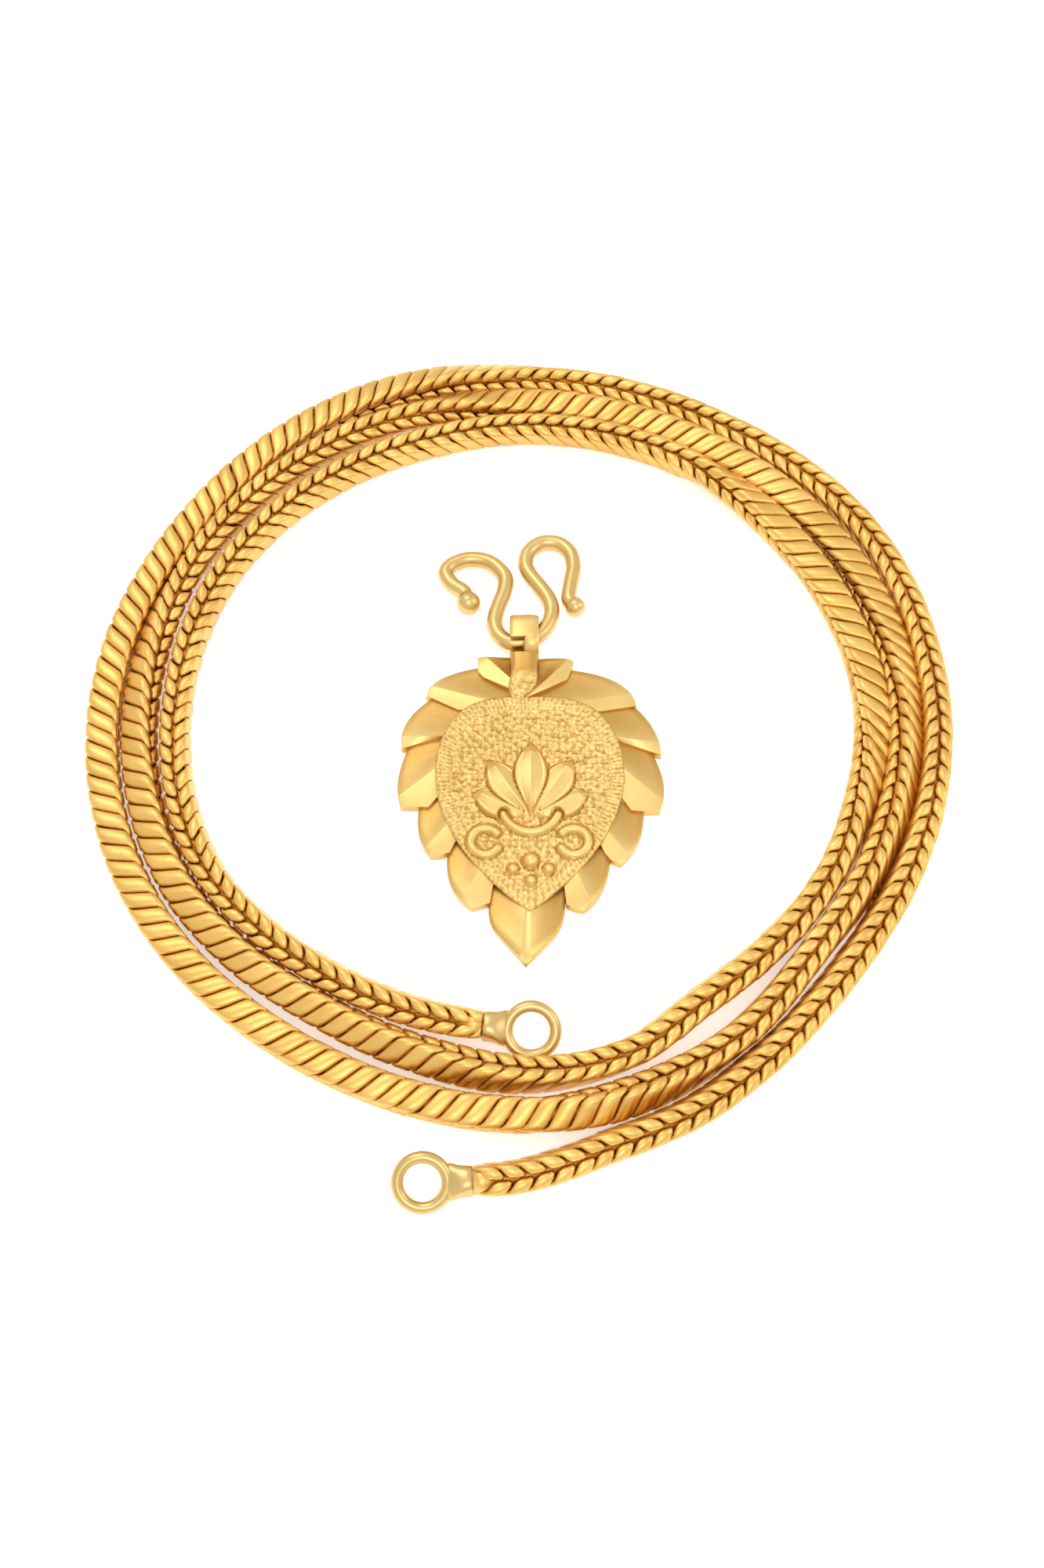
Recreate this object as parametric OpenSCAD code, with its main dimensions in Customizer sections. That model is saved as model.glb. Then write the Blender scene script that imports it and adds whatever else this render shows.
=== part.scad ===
// Gold thali set: a coiled square curb chain with an end ring at each end, and a leaf
// pendant with its wire hook lying inside the coil. Everything rests on z = 0.

/* [Chain] */
// Width of the chain across its two bar faces
chain_w = 2.3; // [2.1:0.05:2.35]
// Height of the chain across its two bead faces
chain_h = 2.5; // [2.3:0.05:2.5]
// Chamfer along the chain's corners
chain_chamfer = 0.5; // [0.3:0.05:0.6]

/* [End rings] */
// Outer diameter of an end ring
ring_d = 4.6; // [4.3:0.1:4.6]
// Thickness of an end ring's wire
ring_wire = 0.87; // [0.7:0.01:0.9]
// Tilt of an end ring, which leans on its south edge
ring_tilt = 28; // [20:1:32]
// Length of the collar that joins a ring to the chain
collar_l = 1.7; // [1.4:0.1:1.8]
// Width and height of the collar
collar_w = 2; // [1.8:0.1:2.1]
// Distance from the end of the chain to the centre of a ring
ring_reach = 3.7; // [3.6:0.05:3.8]
// Gap between the chain's end and its collar
collar_gap = 0.15; // [0.1:0.05:0.3]

/* [Leaf pendant] */
// Thickness of the leaf along its thin outer edge
leaf_edge = 0.6; // [0.4:0.05:0.8]
// Height of each lobe's heel, at the border of the field
lobe_heel = 0.95; // [0.8:0.05:1.1]
// Height to which each lobe slopes up, before the flat field is cut
lobe_crest = 1.6; // [1.4:0.05:1.7]
// Height of the flat field
field_h = 1.3; // [1.1:0.05:1.4]
// Height of the ribbed border round the field
border_h = 1.55; // [1.45:0.05:1.7]
// Width of the border
border_w = 0.9; // [0.7:0.1:1.1]
// Number of ribs round the border
border_ribs = 60; // [40:4:72]

/* [Bail] */
// Width of the bail's strap
bail_w = 2.4; // [2:0.1:2.6]
// Thickness of the bail's strap
bail_strap = 0.42; // [0.35:0.01:0.45]
// Length of the bail's loop
bail_l = 3.8; // [3.7:0.1:4]
// Height of the bail's loop
bail_h = 2.6; // [2.5:0.05:2.8]

/* [Hook] */
// Thickness of the hook's wire
hook_wire = 1.32; // [1.2:0.02:1.36]
// Diameter of the ball on the hook's left end
left_ball_d = 1.8; // [1.7:0.1:2]
// Diameter of the ball on the hook's right end
right_ball_d = 1.6; // [1.4:0.1:1.7]
// Rise of the hook towards the bail, in mm for each mm
hook_rise = 0.047; // [0.04:0.001:0.05]

/* [Hidden] */

GOLD = "#E9B44C";
PALE_GOLD = "#F0CB73";

// Centre of the coil and of the leaf's field
coil_at = [0.15, 4.05];
leaf_at = [0.75, -4.2];

// The chain's route, clockwise from the bottom of the picture.
// Columns: degrees turned, radius from the coil's centre.
route = [
    [6, 28.45], [30, 28.4], [45, 28.7], [60, 28.95], [90, 28.2], [120, 28], [150, 27.6],
    [165, 27.5], [180, 27.75], [210, 28], [240, 28], [270, 28.6], [300, 28.75], [330, 29.5],
    [345, 31.55], [360, 32.2], [375, 31.55], [390, 31.1], [405, 31.35], [420, 31.6],
    [450, 31.15], [480, 30.9], [510, 30.8], [525, 30.65], [540, 30.55], [570, 30.5],
    [600, 30.95], [630, 31.3], [660, 31.35], [675, 31.6], [690, 33.3], [705, 34.8], [720, 35.3],
    [750, 34.55], [780, 34.55], [810, 34.1], [840, 33.45], [870, 33.95], [885, 33.85],
    [900, 33.3], [930, 33.05], [960, 33.9], [990, 33.8], [1020, 33.9], [1035, 34.4],
    [1050, 35.95], [1060, 37.3], [1070, 38.25], [1080, 39.95], [1085, 40.42]
];
route_start = route[0][0];
route_end = route[len(route) - 1][0];
// One ring of the chain's tube for each step of the turn
ring_step = 7.5;
chain_turns = concat(
    [route_start],
    [for (t = [ring_step : ring_step : route_end - 1]) t],
    [route_end]
);

function route_radius(t) = lookup(t, route);
function route_point(t) = coil_at + route_radius(t) * [cos(270 - t), sin(270 - t)];
function route_heading(t) =
    let (d = route_point(min(t + 1, route_end)) - route_point(max(t - 1, route_start)))
    atan2(d[1], d[0]);

// A square with chamfered corners, w wide and h high round the origin
function chamfered(w, h, c) =
    let (a = w / 2, b = h / 2)
    [
        [a, c - b], [a, b - c], [a - c, b], [c - a, b],
        [-a, b - c], [-a, c - b], [c - a, -b], [a - c, -b]
    ];
function chain_ring(t) =
    let (at = route_point(t), side = route_heading(t) - 90)
    [for (p = chamfered(chain_w, chain_h, chain_chamfer))
        [at[0] + p[0] * cos(side), at[1] + p[0] * sin(side), p[1] + chain_h / 2]];

// A closed skin over rings that have the same number of points each
module skin(rings) {
    n = len(rings[0]);
    last = len(rings) - 1;
    sides = [for (i = [0 : last - 1], k = [0 : n - 1], half = [0, 1])
        let (a = i * n + k, b = i * n + (k + 1) % n)
        half == 0 ? [a, b, b + n] : [a, b + n, a + n]];
    ends = [[for (k = [n - 1 : -1 : 0]) k], [for (k = [0 : n - 1]) last * n + k]];
    polyhedron(points = [for (ring = rings, p = ring) p], faces = concat(sides, ends));
}

module chain() {
    color(GOLD) skin([for (t = chain_turns) chain_ring(t)]);
}

// A ring on its collar. The chain's end is at the origin and faces along +X.
module end_ring(heading) {
    ring_r = (ring_d - ring_wire) / 2;
    ring_z = ring_r * sin(ring_tilt) + ring_wire / 2;
    collar_z = chain_h / 2;
    color(PALE_GOLD) {
        translate([ring_reach, 0, ring_z])
            rotate([0, 0, -heading])
            rotate([ring_tilt, 0, 0])
            rotate_extrude($fn = 64)
            translate([ring_r, 0])
            circle(d = ring_wire, $fn = 24);
        translate([collar_gap, 0, collar_z])
            rotate([90, 0, 90])
            linear_extrude(collar_l)
            polygon(chamfered(collar_w, collar_w, chain_chamfer));
    }
}

module inner_end_ring() {
    at = route_point(route_start);
    heading = route_heading(route_start) + 180;
    translate([at[0], at[1], 0]) rotate(heading) end_ring(heading);
}

module outer_end_ring() {
    at = route_point(route_end);
    heading = route_heading(route_end);
    translate([at[0], at[1], 0]) rotate(heading) end_ring(heading);
}

// The leaf's lobes, from the neck down, as the left half and the mirrored right half.
// A lobe's outer edge is an arc from start to tip, drawn towards bulge. From tip it runs
// back to heel, and from there to crest, where it is highest. Each start lies under the
// lobe before. Columns: start, bulge, tip, heel, crest.
left_lobes = [
    [[0.3, 12.7], [-2.6, 13.1], [-4.3, 12.7], [-4.2, 11], [0.3, 8.4]],
    [[-1.8, 12.2], [-7.8, 11.8], [-8.5, 9.1], [-5.9, 7.7], [0.5, 7]],
    [[-7.4, 9.4], [-10.8, 7.2], [-10.4, 4.1], [-7.6, 5], [-2.5, 5]],
    [[-9.6, 4.9], [-11.2, 1.2], [-10.3, -1.2], [-8, -1.3], [-3, 4]],
    [[-8.7, -0.6], [-9.4, -3.8], [-7.8, -5.6], [-6.4, -5.5], [-3.5, 0.5]],
    [[-6.3, -4.2], [-7.2, -8.3], [-4.5, -10.1], [-3.1, -9.7], [-2.2, -4]]
];
right_lobes = [
    [[0.2, 12.6], [-2.8, 13.2], [-3.7, 12.3], [-3.2, 10.6], [0.2, 8.5]],
    [[-1.4, 11.9], [-8.2, 11.6], [-8.8, 8.1], [-5.6, 7.5], [0.5, 7.2]],
    [[-8, 8.8], [-10.6, 6.6], [-10.7, 3.5], [-7.4, 4.7], [-2.5, 5.5]],
    [[-9.8, 4.2], [-11.5, 0.8], [-10.4, -1.6], [-8.2, -1.7], [-3, 4]],
    [[-9.1, -1.2], [-9.3, -4.4], [-7.2, -6.3], [-6.2, -5.9], [-3.2, 0.3]],
    [[-6.4, -4.8], [-6.4, -8.8], [-4.2, -10.3], [-2.9, -10], [-2.2, -4]]
];
// The lobe at the leaf's point, from its left side round to its right, and its crest
point_lobe = [
    [-3.2, -8], [-3.1, -11.1], [-2, -12.8], [-0.3, -14.8],
    [1.2, -13.2], [2.5, -11.4], [2.9, -8.3]
];
point_crest = [0, -6];
arc_steps = 6;

function bend(a, b, c, s) = (1 - s) * (1 - s) * a + 2 * s * (1 - s) * b + s * s * c;
function lobe_arc(row) = [for (i = [0 : arc_steps]) bend(row[0], row[1], row[2], i / arc_steps)];

// A prism on z = 0 with a height for each corner of its top, which fans out from the last
module crested(points, heights) {
    n = len(points);
    low = [for (p = points) [p[0], p[1], 0]];
    high = [for (i = [0 : n - 1]) [points[i][0], points[i][1], heights[i]]];
    walls = [for (i = [0 : n - 1]) let (j = (i + 1) % n) [i, i + n, j + n, j]];
    slopes = [for (i = [0 : n - 3]) [i + 1 + n, i + n, 2 * n - 1]];
    polyhedron(points = concat(low, high), faces = concat([[for (i = [0 : n - 1]) i]], walls, slopes));
}

module lobe(row) {
    arc = lobe_arc(row);
    crested(
        concat(arc, [row[3], row[4]]),
        concat([for (p = arc) leaf_edge], [lobe_heel, lobe_crest])
    );
}

module leaf_lobes() {
    for (row = left_lobes) lobe(row);
    mirror([1, 0, 0]) for (row = right_lobes) lobe(row);
    crested(
        concat(point_lobe, [point_crest]),
        concat([for (p = point_lobe) leaf_edge], [lobe_crest])
    );
}

// The field's heart-shaped outline: a broad top, and sides that narrow to the point.
// It starts at the middle of the right side and runs round over the top.
field_half_w = 7.6;
field_mid_y = 1.7;
field_up = 7;
field_down = 12.3;
ribs_up = round(border_ribs * 0.45);
ribs_down = round((border_ribs - ribs_up) / 2);
function field_top(a) = [
    field_half_w * cos(a),
    field_mid_y + field_up * sqrt(1 - pow(abs(cos(a)), 3.3))
];
function field_side(u) = [field_half_w * pow(1 - u * u, 0.95), field_mid_y - field_down * u];
field_outline = concat(
    [for (i = [0 : ribs_up]) field_top(180 * i / ribs_up)],
    [for (i = [1 : ribs_down]) let (p = field_side(i / ribs_down)) [-p[0], p[1]]],
    [for (i = [ribs_down - 1 : -1 : 1]) field_side(i / ribs_down)]
);
field_centre = [0, 0.8];
inner_scale = 1 - border_w / field_half_w;
function about_centre(p, k) = field_centre + k * (p - field_centre);

// The lobes and the field's border, cut down to the flat field inside the border
module lobes_and_field() {
    difference() {
        union() {
            leaf_lobes();
            linear_extrude(border_h) polygon(field_outline);
        }
        translate([0, 0, field_h])
            linear_extrude(border_h)
            polygon([for (p = field_outline) about_centre(p, inner_scale)]);
    }
}

rib_w = 0.26;
rib_h = 0.14;
module border() {
    n = len(field_outline);
    for (i = [0 : n - 1]) {
        before = field_outline[(i + n - 1) % n];
        after = field_outline[(i + 1) % n];
        at = about_centre(field_outline[i], (1 + inner_scale) / 2);
        across = atan2(after[1] - before[1], after[0] - before[0]) - 90;
        translate([at[0], at[1], border_h])
            rotate(across)
            cube([border_w * 0.7, rib_w, 2 * rib_h], center = true);
    }
}

// A lotus of five petals on a calyx, between two scrolls, with beads below.
// Columns of the petals: heading, length, width, height of the rim, height of the peak.
petals = [[90, 6.9, 2.7, 1.6, 2], [57, 6.3, 2.6, 1.55, 1.95], [123, 6.3, 2.6, 1.55, 1.95],
    [27, 5.2, 2.4, 1.5, 1.9], [153, 5.2, 2.4, 1.5, 1.9]];
lotus_foot = [0.1, -2.6];
petal_steps = 5;
petal_peak = 0.6;
calyx_r = 2.3;
scroll_r = 1.15;
scroll_wire = 0.75;
scroll_x = 3.5;
scroll_y = -4.6;
// Columns of the beads: x, y, diameter
beads = [[0.1, -6.3, 1.3], [-1.3, -7, 0.9], [1.5, -7, 0.9], [0.1, -8, 0.9]];

// A prism with straight walls up to its rim and a peak over the middle
module tented(points, foot, rim, peak) {
    n = len(points);
    low = [for (p = points) [p[0], p[1], foot]];
    high = [for (p = points) [p[0], p[1], rim]];
    walls = [for (i = [0 : n - 1]) let (j = (i + 1) % n) [i, i + n, j + n, j]];
    slopes = [for (i = [0 : n - 1]) [(i + 1) % n + n, i + n, 2 * n]];
    polyhedron(
        points = concat(low, high, [peak]),
        faces = concat([[for (i = [0 : n - 1]) i]], walls, slopes)
    );
}

module petal(length, width, rim, peak) {
    side = [for (i = [0 : petal_steps - 1])
        let (s = i / petal_steps) [length * s, width / 2 * sin(180 * pow(s, 1.3))]];
    outline = concat(
        [for (p = side) [p[0], -p[1]]],
        [[length, 0]],
        [for (i = [petal_steps - 1 : -1 : 1]) side[i]]
    );
    tented(outline, field_h / 2, rim, [length * petal_peak, 0, peak]);
}

module wire_arc(r, wire, from, sweep) {
    rotate(from) rotate_extrude(angle = sweep, $fn = 48) translate([r, 0]) circle(d = wire, $fn = 16);
}

module lotus() {
    for (row = petals)
        translate([lotus_foot[0], lotus_foot[1], 0])
            rotate(row[0])
            petal(row[1], row[2], row[3], row[4]);
    translate([lotus_foot[0], lotus_foot[1] + calyx_r / 2, field_h])
        wire_arc(calyx_r, scroll_wire, 200, 140);
    for (side = [0, 1])
        mirror([side, 0, 0])
            translate([scroll_x, scroll_y, field_h])
            wire_arc(scroll_r, scroll_wire, -150, 290);
    for (row = beads) translate([row[0], row[1], field_h]) sphere(d = row[2], $fn = 24);
}

// The neck joins the leaf to the bail, and a short tongue runs from it over the field.
neck_x = -0.4;
neck_h = 1.7;
neck_low = 10.6;
neck_high = 12.65;
tongue_tip = [-1, 8.3];
module neck() {
    h = bail_w / 2;
    linear_extrude(neck_h)
        polygon([
            [neck_x - h, neck_high], [neck_x - h, neck_low], [neck_x - h * 1.1, neck_low - 0.9],
            tongue_tip, [neck_x + h * 0.8, neck_low - 1.1], [neck_x + h, neck_low],
            [neck_x + h, neck_high]
        ]);
}

// A strap bent into a long loop. The hook's wire passes through it from side to side,
// under the notch that narrows the front of the upper strap.
bail_foot = 12.6;
notch_share = 0.5;
notch_end = 13.75;
module loop_profile(inset) {
    r = bail_h / 2 - inset;
    translate([bail_h / 2, bail_h / 2]) circle(r = r, $fn = 48);
    translate([bail_l - bail_h / 2, bail_h / 2]) circle(r = r, $fn = 48);
    translate([bail_h / 2, inset]) square([bail_l - bail_h, 2 * r]);
}
module bail() {
    left = neck_x - bail_w / 2;
    difference() {
        translate([left, bail_foot, 0])
            rotate([90, 0, 90])
            linear_extrude(bail_w)
            difference() {
                loop_profile(0);
                loop_profile(bail_strap);
            }
        translate([left - 1, bail_foot - 1, bail_strap])
            cube([1 + bail_w * notch_share, notch_end - bail_foot + 1, bail_h]);
    }
}

module leaf_pendant() {
    color(PALE_GOLD)
        translate([leaf_at[0], leaf_at[1], 0]) {
            lobes_and_field();
            border();
            lotus();
            neck();
            bail();
        }
}

// The middle of the hook's wire, from the left ball round to the right ball, measured
// from the leaf's own centre
hook_route = [
    [-5.1, 18], [-5.5, 19.1], [-6.5, 19.9], [-7.1, 21], [-6.7, 21.9], [-5.6, 22.5],
    [-4.6, 22.6], [-3.4, 22.3], [-2.5, 21.5], [-2, 20.5], [-2.1, 19.2], [-2.5, 17.9],
    [-2.8, 16.8], [-2.9, 15.8], [-2.6, 14.8], [-1.9, 14.1], [-1, 13.9], [0.1, 14.2], [1.1, 15],
    [1.7, 16.1], [1.9, 17.3], [1.6, 18.5], [0.9, 19.7], [0.1, 20.9], [-0.3, 22], [-0.1, 23.2],
    [0.7, 24.1], [1.7, 24.4], [2.8, 24.1], [3.6, 23.1], [3.8, 21.7], [3.6, 20.4], [3.4, 19.1],
    [3.4, 18.3], [3.9, 17.6]
];
hook_far_y = 24.4;
hook_lift = 0.05;
hook_sides = 12;
hook_steps = 2;
ball_angles = [15, 40, 65, 90, 115];

function hook_z(y) = hook_wire / 2 + hook_lift + hook_rise * (hook_far_y - y);
function hook_node(i) =
    let (p = hook_route[max(0, min(len(hook_route) - 1, i))])
    [p[0], p[1], hook_z(p[1])];
function curve(a, b, c, d, s) =
    0.5 * (2 * b + (c - a) * s + (2 * a - 5 * b + 4 * c - d) * s * s
        + (3 * b - a - 3 * c + d) * s * s * s);
hook_line = [for (i = [0 : len(hook_route) - 2], k = [0 : hook_steps - 1])
    curve(hook_node(i - 1), hook_node(i), hook_node(i + 1), hook_node(i + 2), k / hook_steps)];

function unit(v) = v / norm(v);
function wire_ring(at, along, r) =
    let (side = unit(cross(along, [0, 0, 1])), up = cross(side, along))
    [for (k = [0 : hook_sides - 1])
        let (a = 360 * k / hook_sides)
        at + r * (cos(a) * side + sin(a) * up)];
function ball_rings(at, along, d, angles) =
    [for (a = angles) wire_ring(at - d / 2 * cos(a) * along, along, d / 2 * sin(a))];

module hook() {
    n = len(hook_line);
    last = hook_node(len(hook_route) - 1);
    into = unit(hook_line[2] - hook_line[0]);
    out = unit(last - hook_line[n - 1]);
    right_angles = [for (i = [len(ball_angles) - 1 : -1 : 0]) 180 - ball_angles[i]];
    wire = [for (i = [2 : n - 2])
        wire_ring(hook_line[i], unit(hook_line[i + 1] - hook_line[i - 1]), hook_wire / 2)];
    color(GOLD)
        translate([leaf_at[0], leaf_at[1], 0])
        skin(concat(
            ball_rings(hook_line[0], into, left_ball_d, ball_angles),
            wire,
            ball_rings(last, out, right_ball_d, right_angles)
        ));
}

chain();
inner_end_ring();
outer_end_ring();
leaf_pendant();
hook();
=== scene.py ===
import math

import bpy
import numpy as np
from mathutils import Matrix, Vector


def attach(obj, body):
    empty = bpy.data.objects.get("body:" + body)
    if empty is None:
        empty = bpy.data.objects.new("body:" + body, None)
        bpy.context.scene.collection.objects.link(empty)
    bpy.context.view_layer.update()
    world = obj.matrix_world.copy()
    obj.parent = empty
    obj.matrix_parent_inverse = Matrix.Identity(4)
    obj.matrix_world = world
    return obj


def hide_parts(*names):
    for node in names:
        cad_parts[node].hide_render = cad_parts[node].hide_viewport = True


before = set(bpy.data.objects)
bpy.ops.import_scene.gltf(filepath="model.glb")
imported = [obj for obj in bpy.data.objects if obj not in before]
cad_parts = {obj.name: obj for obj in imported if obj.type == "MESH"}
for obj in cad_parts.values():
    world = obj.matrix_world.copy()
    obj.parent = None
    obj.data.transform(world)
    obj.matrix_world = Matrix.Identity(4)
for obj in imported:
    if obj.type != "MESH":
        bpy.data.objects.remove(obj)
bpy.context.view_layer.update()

MM = 0.001

# The camera and the photograph's view, in mm and degrees
LOOK_AT = (0.15, -2.95, 0.0)
CAMERA_ELEVATION = 62.0
CAMERA_DISTANCE = 162.0
LENS_MM = 46.0
SENSOR_MM = 36.0

# The chain's route, clockwise from the bottom of the picture, which is ROUTE_FROM in degrees.
# Columns: degrees turned, radius from the coil's centre in mm.
COIL_AT = (0.15, 4.05)
ROUTE_FROM = 270.0
ROUTE = [
    (6, 28.45), (30, 28.4), (45, 28.7), (60, 28.95), (90, 28.2), (120, 28), (150, 27.6), (165, 27.5),
    (180, 27.75), (210, 28), (240, 28), (270, 28.6), (300, 28.75), (330, 29.5), (345, 31.55),
    (360, 32.2), (375, 31.55), (390, 31.1), (405, 31.35), (420, 31.6), (450, 31.15), (480, 30.9),
    (510, 30.8), (525, 30.65), (540, 30.55), (570, 30.5), (600, 30.95), (630, 31.3), (660, 31.35),
    (675, 31.6), (690, 33.3), (705, 34.8), (720, 35.3), (750, 34.55), (780, 34.55), (810, 34.1),
    (840, 33.45), (870, 33.95), (885, 33.85), (900, 33.3), (930, 33.05), (960, 33.9), (990, 33.8),
    (1020, 33.9), (1035, 34.4), (1050, 35.95), (1060, 37.3), (1070, 38.25), (1080, 39.95), (1085, 40.42),
]
# How the chain is turned about its own axis. At roll 0 a bead face is up, and at roll 90 the
# bar face of the coil's outer side. Columns: degrees turned, roll in degrees.
ROLLS = [
    (6, -27), (30, -24), (45, -20), (60, -14), (90, 0), (120, 8), (150, 12), (180, 16), (210, 16),
    (220, 50), (230, 78), (240, 97), (255, 88), (270, 76), (285, 43), (300, 2), (315, -16),
    (330, -22), (345, -18), (360, 8), (375, 50), (390, 66), (420, 74), (435, 70), (450, 58),
    (465, 35), (480, 14), (510, 22), (525, 40), (540, 95), (555, 108), (570, 112), (585, 100),
    (600, 88), (615, 70), (630, 45), (645, 30), (660, 12), (675, -8), (690, -15), (705, 25),
    (720, 80), (750, 82), (780, 82), (810, 90), (840, 95), (870, 90), (885, 70), (900, 45),
    (915, 27), (930, 24), (960, 14), (990, 0), (1020, -14), (1050, -24), (1085, -27),
]
# Steps of the route's curve between two of its points, and of the chain's axis in degrees turned
ROUTE_STEPS = 12
AXIS_STEP = 0.25

# One link, in mm. Two flat bars wrap the chain's left and right sides, and their ends meet as beads
# on the bead faces. Each bar leans along the chain, and the wire crosses the core between its ends.
LINK_PITCH = 1.533
HALF_W = 1.15
HALF_H = 1.3
CORNER_POWER = 6
BAR_LEAN = 0.55
BEAD_LEAN = 0.65
RIGHT_BAR_SHIFT = 0.5
# Columns: degrees up from the middle of the side, width along the chain, depth below the face
BAR_STATIONS = [(14, 1.44, 0.0), (38, 1.43, 0.0), (48, 1.36, 0.0), (57, 1.36, 0.0), (68, 1.42, 0.0),
                (80, 1.32, 0.02), (88, 0.9, 0.18)]
# The bar's section, and the depth of its middle. Columns: share of its width, depth in mm.
BAR_SECTION = [(-0.5, 0.16), (-0.36, 0.0), (0.36, 0.0), (0.5, 0.16), (0.5, 0.4), (0.25, 0.52),
               (-0.25, 0.52), (-0.5, 0.4)]
SECTION_MIDDLE = 0.28
# Where the wire crosses the core, from the link's middle along the chain, and its thickness there
CORE_AT = 1.3
CORE_WIRE = 0.55
# A bar's sides are painted with shade from this depth on, and fully so after this much more
SIDE_PAINTED_SHADE_FROM = 0.1
SIDE_PAINTED_SHADE_OVER = 0.3
# The wires packed inside the chain are one core. Its section is a share of the chain's, and the
# solder at its two ends is thicker. The core is painted as deep shade, and the solder only slightly.
PACKED_SHARE = 0.67
PACKED_PAINTED_SHADE = 1.0
SOLDER_SHARE = 0.97
SOLDER_PAINTED_SHADE = 0.1
SOLDER_L = 0.7
CORE_END_SHARE = 0.02
CORE_STEP = 1.0
CORE_SIDES = 8
# The chain stops END_GAP short of the route's ends. There it is END_SHARE as wide, and it narrows
# to that over END_TAPER_L.
END_GAP = 0.01
END_SHARE = 0.86
END_TAPER_L = 1.8
# The rolls for which the chain's height over the table is worked out: first, end and step in degrees
LIFT_ROLLS = (-45, 126, 5)
# How links differ from each other: the seed, the roll to either side in degrees, and the most
# of the deep colour that is added to a link at random
LINK_SEED = 5
LINK_ROLL = 2.5
LINK_TONE = 0.22

# The leaf, in mm. Places on it, on its neck and bail and on the hook are measured from LEAF_AT,
# and heights from the table that its flat back lies on.
LEAF_AT = (0.75, -4.2)
# Heights of a lobe: its edge where it starts, its ridge's outer end, its tip, its heel and its crest
LOBE_START = 0.55
LOBE_RIDGE = 0.95
LOBE_TIP = 0.85
LOBE_HEEL = 0.95
LOBE_CREST = 1.6
# How deep the lobe's leading face sinks, the bevel along its rim, and the painted shade on its leading face
# and its wall
LOBE_SINK = 0.28
LOBE_BEVEL = 0.08
LEAD_PAINTED_SHADE = 0.75
WALL_PAINTED_SHADE = 0.3
# Where the ridge meets the lobe's outer edge, as a share of that edge
RIDGE_SHARE = 0.8
# Rows of points from a lobe's edge to its crest, as shares of that way
LOBE_ROWS = [0.0, 0.02, 0.1, 0.2, 0.32, 0.45, 0.6, 0.8, 1.0]
# Steps along a lobe's outer edge, and between two points of the last lobe's edges
ARC_STEPS = 12
POINT_STEPS = 4
# Columns: start, bulge, tip, heel, crest. The right half is mirrored.
LEFT_LOBES = [
    ((0.3, 12.7), (-2.6, 13.1), (-4.3, 12.7), (-4.2, 11.0), (0.3, 8.4)),
    ((-1.8, 12.2), (-7.8, 11.8), (-8.5, 9.1), (-5.9, 7.7), (0.5, 7.0)),
    ((-7.4, 9.4), (-10.8, 7.2), (-10.4, 4.1), (-7.6, 5.0), (-2.5, 5.0)),
    ((-9.6, 4.9), (-11.2, 1.2), (-10.3, -1.2), (-8.0, -1.3), (-3.0, 5.8)),
    ((-8.7, -0.6), (-9.4, -3.8), (-7.8, -5.6), (-6.4, -5.5), (-3.5, 0.5)),
    ((-6.3, -4.2), (-7.2, -8.3), (-4.5, -10.1), (-3.1, -9.7), (-2.2, -4.0)),
]
RIGHT_LOBES = [
    ((0.2, 12.6), (-2.8, 13.2), (-3.7, 12.3), (-3.2, 10.6), (0.2, 8.5)),
    ((-1.4, 11.9), (-8.2, 11.6), (-8.8, 8.1), (-5.6, 7.5), (0.5, 7.2)),
    ((-8.0, 8.8), (-10.6, 6.6), (-10.7, 3.5), (-7.4, 4.7), (-2.5, 5.5)),
    ((-9.8, 4.2), (-11.5, 0.8), (-10.4, -1.6), (-8.2, -1.7), (-3.0, 6.2)),
    ((-9.1, -1.2), (-9.3, -4.4), (-7.2, -6.3), (-6.2, -5.9), (-3.2, 0.3)),
    ((-6.4, -4.8), (-6.4, -8.8), (-4.2, -10.3), (-2.9, -10.0), (-2.2, -4.0)),
]
# The lobe at the leaf's point: its left edge, its right edge and its crest
POINT_LEFT = [(-3.2, -8.0), (-3.1, -11.1), (-2.0, -12.8), (-0.3, -14.8)]
POINT_RIGHT = [(2.9, -8.3), (2.5, -11.4), (1.2, -13.2), (-0.3, -14.8)]
POINT_CREST = (0.0, -6.0)

# The field: its height, its low wall, and its outline's half width, the y of its widest place, its
# reach up and down from there, and the powers that round its top and its sides
FIELD_H = 1.3
FIELD_WALL = 0.3
FIELD_HALF_W = 7.6
FIELD_MID_Y = 1.7
FIELD_UP = 7.0
FIELD_DOWN = 12.3
FIELD_TOP_POWER = 3.3
FIELD_SIDE_POWER = 0.95
# Points of the outline, and the share of them that lies above its widest place
EDGE_POINTS = 240
EDGE_TOP_SHARE = 0.45
# The field's rings of points widen from this centre, and the first two are these shares of the
# outline
FIELD_CENTRE = (0.0, 0.8)
FIRST_RINGS = (0.002, 0.01)
FIELD_RINGS = 96
FIELD_COLUMNS = 540
# Where lobes reach further in than this share of the field, they stay this far under its surface
UNDER_SHARE = 0.97
UNDER_FIELD = 0.15
# Two sizes of grains lie over each other. Columns: share, size in mm, seed.
GRAINS = [(0.6, 0.5, 7), (0.4, 0.3, 11)]
GRAIN_H = 0.2
# The border: the share of the field where it starts, how wide its slopes are as such a share, its
# height, the number of its ribs, and the size and seed of the grains among them
BORDER_SHARE = 0.84
BORDER_SLOPE = 0.03
BORDER_H = 0.02
RIBS = 131
RIB_GRAINS = (0.4, 23)
# How the ribs' spacing drifts. Columns: radians, waves round the border.
RIB_DRIFTS = [(1.5, 7), (0.8, 23)]
# The painted shade on the field between its grains, how fast that falls with their height, what it is
# scaled by, and how much height the border counts as having besides its own for that shade
FIELD_PAINTED_SHADE = 1.1
FIELD_SHADE_FALL = 1.7
FIELD_SHADE_SCALE = 0.9
BORDER_SHADE_LIFT = 0.1

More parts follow.
